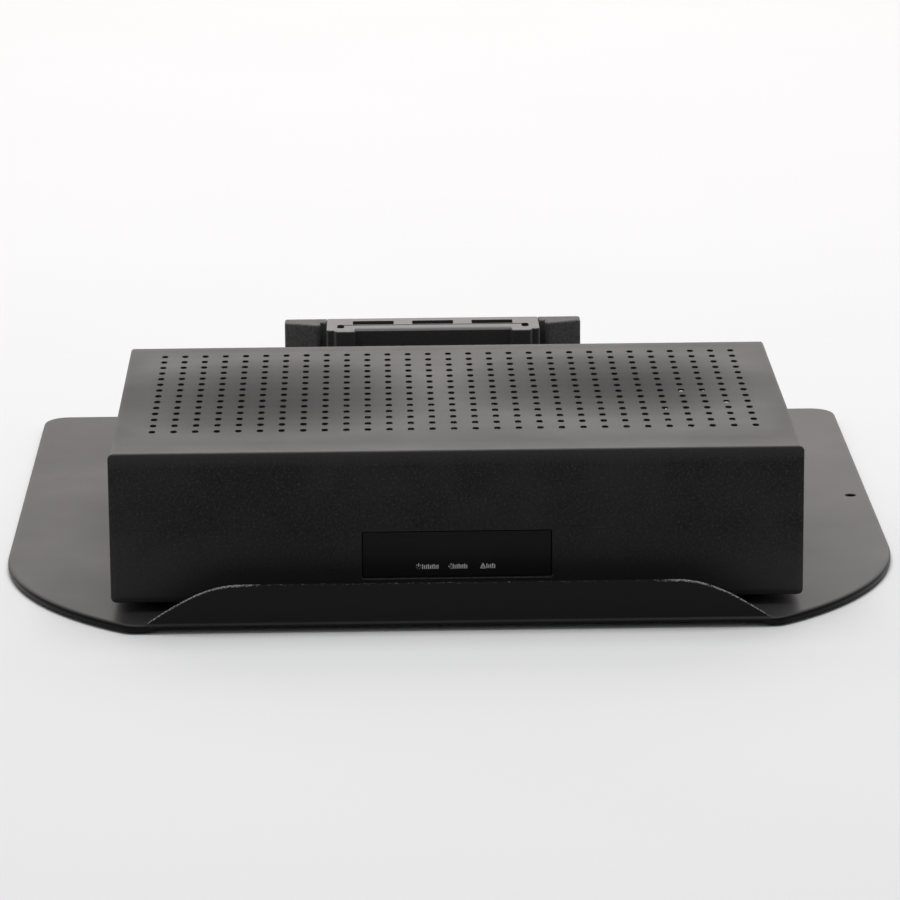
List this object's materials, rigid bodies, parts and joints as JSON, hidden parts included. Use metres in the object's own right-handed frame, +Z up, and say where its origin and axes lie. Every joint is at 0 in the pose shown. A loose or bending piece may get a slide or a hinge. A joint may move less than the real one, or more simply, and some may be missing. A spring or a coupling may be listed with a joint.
{
  "type": "compact video recorder on a carrier base",
  "caption": "Flat black recorder with a perforated cover and a dark display window, standing on a wide steel base plate with a raised front lip and an upright rear bracket.",
  "frame": {"origin": "on the table under the middle of the base plate", "axes": "+X along the base's width, to the right as seen from the front; +Y to the rear; +Z up"},
  "size_m": [0.422, 0.395, 0.079],
  "materials": {
    "powder_coat": "fine satin black powder coat",
    "case_coat": "fine satin black powder coat",
    "black_moulding": "fine spark-eroded matt black",
    "gloss_moulding": "semi-gloss black",
    "smoked_lens": "polished smoked black",
    "rubber": "matt",
    "zinc_steel": "bright zinc plate",
    "black_screw": "black oxide",
    "cast_alloy": "as cast, lightly machined",
    "disk_coating": "mirror polished",
    "solder_mask": "green solder mask",
    "black_anodised": "black anodised",
    "chip_resin": "moulded epoxy",
    "nickel": "nickel plate",
    "led_resin": "clear moulded resin",
    "winding_tape": "yellow winding tape",
    "capacitor_sleeve": "printed sleeve left plain",
    "ribbon": "grey flat cable",
    "cable_red": "red cable jacket"
  },
  "bodies": {
    "carrier": {"base_plate": "powder_coat", "pad_front_left": "rubber", "pad_front_right": "rubber", "pad_rear_left": "rubber", "pad_rear_right": "rubber", "bracket_foot": "powder_coat", "bracket_post_left": "black_moulding", "bracket_post_right": "black_moulding", "bracket_socket": "gloss_moulding", "bracket_screw_front_left": "black_screw", "bracket_screw_front_right": "black_screw", "bracket_screw_rear_left": "black_screw", "bracket_screw_rear_right": "black_screw"},
    "recorder": {"top_cover": "case_coat", "rear_panel": "case_coat", "chassis_tray": "zinc_steel", "front_bezel": "black_moulding", "display_window": "smoked_lens", "front_board": "solder_mask", "indicator_standby": "led_resin", "indicator_remote": "led_resin", "indicator_alert": "led_resin", "remote_receiver": "chip_resin", "ribbon_cable": "ribbon", "main_board": "solder_mask", "processor": "chip_resin", "heatsink": "black_anodised", "network_socket": "nickel", "serial_socket": "nickel", "display_socket": "nickel", "power_board": "solder_mask", "transformer": "winding_tape", "reservoir_capacitor": "capacitor_sleeve", "mains_inlet": "black_moulding", "switch_body": "black_moulding", "drive_base": "cast_alloy", "drive_lid": "zinc_steel", "drive_bridge": "zinc_steel", "drive_cable": "cable_red", "fan_frame": "black_moulding", "foot_front_left": "rubber", "foot_front_right": "rubber", "foot_rear_left": "rubber", "foot_rear_right": "rubber", "cover_screw_left_front": "black_screw", "cover_screw_left_rear": "black_screw", "cover_screw_right_front": "black_screw", "cover_screw_right_rear": "black_screw", "board_screw_front_left": "zinc_steel", "board_screw_front_right": "zinc_steel", "board_screw_rear_left": "zinc_steel", "board_screw_rear_right": "zinc_steel", "video_socket_1": "nickel", "video_socket_2": "nickel", "video_socket_3": "nickel", "video_socket_4": "nickel"},
    "fan_rotor": {"fan_rotor": "black_moulding"},
    "disk_stack": {"drive_disks": "disk_coating"},
    "head_arm": {"drive_head_arm": "cast_alloy"},
    "power_rocker": {"rocker": "gloss_moulding"}
  },
  "joints": [
    {"name": "recorder_lift_off", "type": "slide", "parent": "carrier", "child": "recorder", "axis": [0, 0, 1], "range_m": [0, 0.06]},
    {"name": "fan_spin", "type": "hinge", "parent": "recorder", "child": "fan_rotor", "pos_m": [0.1277, 0.0274, 0.045], "axis": [0, 1, 0], "continuous": true},
    {"name": "disk_spin", "type": "hinge", "parent": "recorder", "child": "disk_stack", "pos_m": [0.0005, -0.1022, 0.0455], "axis": [0, 0, 1], "continuous": true},
    {"name": "head_arm_swing", "type": "hinge", "parent": "recorder", "child": "head_arm", "pos_m": [0.0607, -0.124, 0.0455], "axis": [0, 0, 1], "range_deg": [0, 25]},
    {"name": "power_rocker_tilt", "type": "hinge", "parent": "recorder", "child": "power_rocker", "pos_m": [-0.1073, 0.0295, 0.031], "axis": [1, 0, 0], "range_deg": [-20, 0]}
  ]
}
